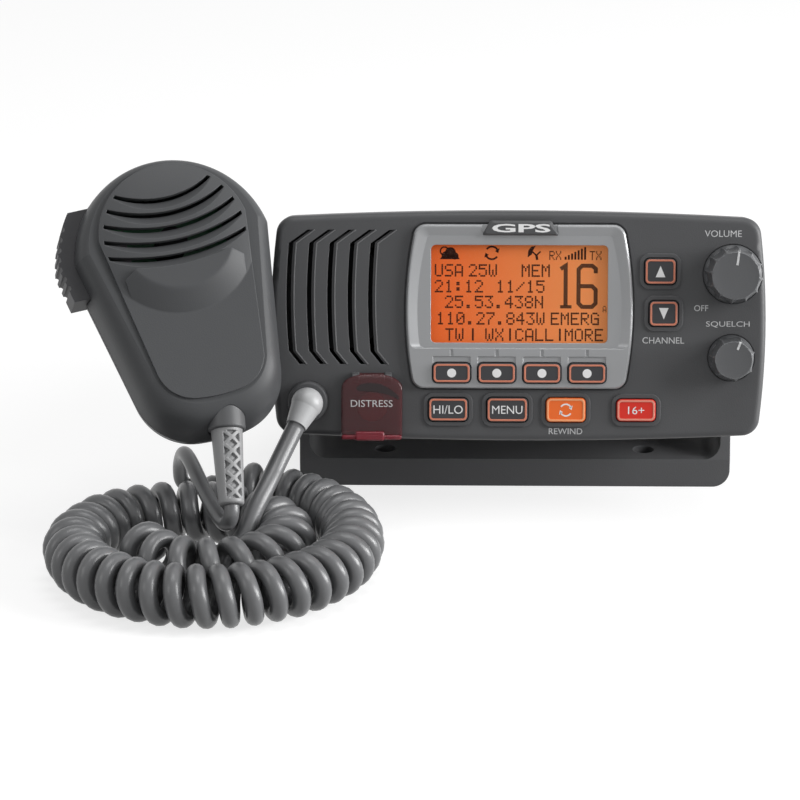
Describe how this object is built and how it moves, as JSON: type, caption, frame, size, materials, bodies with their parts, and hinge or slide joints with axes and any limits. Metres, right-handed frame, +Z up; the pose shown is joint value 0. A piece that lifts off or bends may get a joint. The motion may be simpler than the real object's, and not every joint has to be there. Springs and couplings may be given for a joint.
{
  "type": "marine radio",
  "caption": "Fixed-mount marine radio in a gimbal bracket, with display, keys, two knobs, a covered distress key and a fist microphone on a curly cord.",
  "frame": {"origin": "middle of the mounting bracket's base, on the surface that it stands on", "axes": "+X to the right seen from the front, +Y away from the user, +Z up; the gimbal axis is parallel to X"},
  "size_m": [0.2402, 0.2293, 0.1247],
  "materials": {
    "bracket_plastic": "matte",
    "panel_plastic": "satin",
    "knob_plastic": "satin",
    "handset_plastic": "satin",
    "bezel_silver": "satin",
    "window_clear": "gloss",
    "display_orange": "gloss",
    "distress_red": "satin",
    "cover_red": "gloss",
    "key_rubber": "matte",
    "key_orange": "matte",
    "key_red": "matte",
    "steel": "satin",
    "speaker_steel": "satin",
    "switch_metal": "satin",
    "circuit_board": "satin",
    "cast_case": "matte",
    "ceramic_patch": "satin",
    "seal_rubber": "matte",
    "plated_brass": "satin",
    "ptt_rubber": "matte",
    "boot_rubber": "matte",
    "boot_grey": "matte",
    "cord_rubber": "satin"
  },
  "bodies": {
    "bracket": {"mounting_bracket": "bracket_plastic", "panel_lead": "cord_rubber", "curly_cord": "cord_rubber", "handset_lead": "cord_rubber"},
    "radio": {"front_panel": "panel_plastic", "display_bezel": "bezel_silver", "display_window": "window_clear", "lcd_module": "display_orange", "display_badge": "bezel_silver", "cover_pin": "steel", "front_board": "circuit_board", "key_switches": "switch_metal", "speaker": "speaker_steel", "rear_housing": "cast_case", "main_board": "circuit_board", "power_amplifier": "switch_metal", "gps_antenna": "ceramic_patch", "housing_gasket": "seal_rubber", "housing_screws": "steel", "heat_sink": "cast_case", "antenna_socket": "plated_brass", "power_gland": "bracket_plastic", "cord_ring": "panel_plastic", "cord_boot": "boot_grey", "volume_control": "bracket_plastic", "squelch_control": "bracket_plastic", "knob_seals": "seal_rubber", "pivot_inserts": "plated_brass", "gimbal_pads": "seal_rubber"},
    "volume": {"volume_knob": "knob_plastic", "volume_shaft": "steel"},
    "squelch": {"squelch_knob": "knob_plastic", "squelch_shaft": "steel"},
    "gimbal_left": {"gimbal_knob_left": "knob_plastic", "gimbal_stud_left": "steel"},
    "gimbal_right": {"gimbal_knob_right": "knob_plastic", "gimbal_stud_right": "steel"},
    "distress_lid": {"distress_cover": "cover_red"},
    "handset": {"handset_front": "handset_plastic", "handset_back": "handset_plastic", "handset_gasket": "seal_rubber", "ptt_switch": "bracket_plastic", "microphone_element": "switch_metal", "handset_board": "circuit_board", "hanger_stud": "plated_brass", "handset_screws": "steel", "relief_collar": "boot_rubber", "cord_relief": "boot_rubber"},
    "push_to_talk": {"ptt_button": "ptt_rubber"},
    "power_level_key_cap": {"power_level_key": "key_rubber"},
    "menu_key_cap": {"menu_key": "key_rubber"},
    "rewind_key_cap": {"rewind_key": "key_orange"},
    "channel_16_key_cap": {"channel_16_key": "key_red"},
    "channel_up_key_cap": {"channel_up_key": "key_rubber"},
    "channel_down_key_cap": {"channel_down_key": "key_rubber"},
    "soft_key_1_cap": {"soft_key_1": "key_rubber"},
    "soft_key_2_cap": {"soft_key_2": "key_rubber"},
    "soft_key_3_cap": {"soft_key_3": "key_rubber"},
    "soft_key_4_cap": {"soft_key_4": "key_rubber"},
    "distress_button_cap": {"distress_button": "distress_red"}
  },
  "joints": [
    {"name": "radio_tilt", "type": "hinge", "parent": "bracket", "child": "radio", "pos_m": [0, 0, 0.054], "axis": [1, 0, 0], "range_deg": [-10, 8], "deforming": ["panel_lead"]},
    {"name": "volume_turn", "type": "hinge", "parent": "radio", "child": "volume", "pos_m": [0.0712, -0.05048, 0.08585], "axis": [0, -0.9659, 0.2588], "range_deg": [-140, 140]},
    {"name": "squelch_turn", "type": "hinge", "parent": "radio", "child": "squelch", "pos_m": [0.0709, -0.0577, 0.0589], "axis": [0, -0.9659, 0.2588], "range_deg": [-140, 140]},
    {"name": "gimbal_left_turn", "type": "hinge", "parent": "radio", "child": "gimbal_left", "pos_m": [-0.08, 0, 0.054], "axis": [-1, 0, 0], "range_deg": [-180, 180]},
    {"name": "gimbal_right_turn", "type": "hinge", "parent": "radio", "child": "gimbal_right", "pos_m": [0.08, 0, 0.054], "axis": [1, 0, 0], "range_deg": [-180, 180]},
    {"name": "distress_cover_lift", "type": "hinge", "parent": "radio", "child": "distress_lid", "pos_m": [-0.0486, -0.06147, 0.05256], "axis": [-1, 0, 0], "range_deg": [0, 100], "stiffness_Nm_per_rad": 0.0008, "springref_deg": -28.65},
    {"name": "handset_lift", "type": "slide", "parent": "bracket", "child": "handset", "axis": [0, 0, 1], "range_m": [0, 0.08], "deforming": ["handset_lead"]},
    {"name": "push_to_talk_press", "type": "slide", "parent": "handset", "child": "push_to_talk", "axis": [0.94, 0.3136, 0.134], "range_m": [0, 0.002], "stiffness_N_per_m": 700},
    {"name": "power_level_press", "type": "slide", "parent": "radio", "child": "power_level_key_cap", "axis": [0, 0.9659, -0.2588], "range_m": [0, 0.001], "stiffness_N_per_m": 300},
    {"name": "menu_press", "type": "slide", "parent": "radio", "child": "menu_key_cap", "axis": [0, 0.9659, -0.2588], "range_m": [0, 0.001], "stiffness_N_per_m": 300},
    {"name": "rewind_press", "type": "slide", "parent": "radio", "child": "rewind_key_cap", "axis": [0, 0.9659, -0.2588], "range_m": [0, 0.001], "stiffness_N_per_m": 300},
    {"name": "channel_16_press", "type": "slide", "parent": "radio", "child": "channel_16_key_cap", "axis": [0, 0.9659, -0.2588], "range_m": [0, 0.001], "stiffness_N_per_m": 300},
    {"name": "channel_up_press", "type": "slide", "parent": "radio", "child": "channel_up_key_cap", "axis": [0, 0.9659, -0.2588], "range_m": [0, 0.001], "stiffness_N_per_m": 300},
    {"name": "channel_down_press", "type": "slide", "parent": "radio", "child": "channel_down_key_cap", "axis": [0, 0.9659, -0.2588], "range_m": [0, 0.001], "stiffness_N_per_m": 300},
    {"name": "soft_1_press", "type": "slide", "parent": "radio", "child": "soft_key_1_cap", "axis": [0, 0.9659, -0.2588], "range_m": [0, 0.001], "stiffness_N_per_m": 300},
    {"name": "soft_2_press", "type": "slide", "parent": "radio", "child": "soft_key_2_cap", "axis": [0, 0.9659, -0.2588], "range_m": [0, 0.001], "stiffness_N_per_m": 300},
    {"name": "soft_3_press", "type": "slide", "parent": "radio", "child": "soft_key_3_cap", "axis": [0, 0.9659, -0.2588], "range_m": [0, 0.001], "stiffness_N_per_m": 300},
    {"name": "soft_4_press", "type": "slide", "parent": "radio", "child": "soft_key_4_cap", "axis": [0, 0.9659, -0.2588], "range_m": [0, 0.001], "stiffness_N_per_m": 300},
    {"name": "distress_press", "type": "slide", "parent": "radio", "child": "distress_button_cap", "axis": [0, 0.9659, -0.2588], "range_m": [0, 0.001], "stiffness_N_per_m": 300}
  ]
}
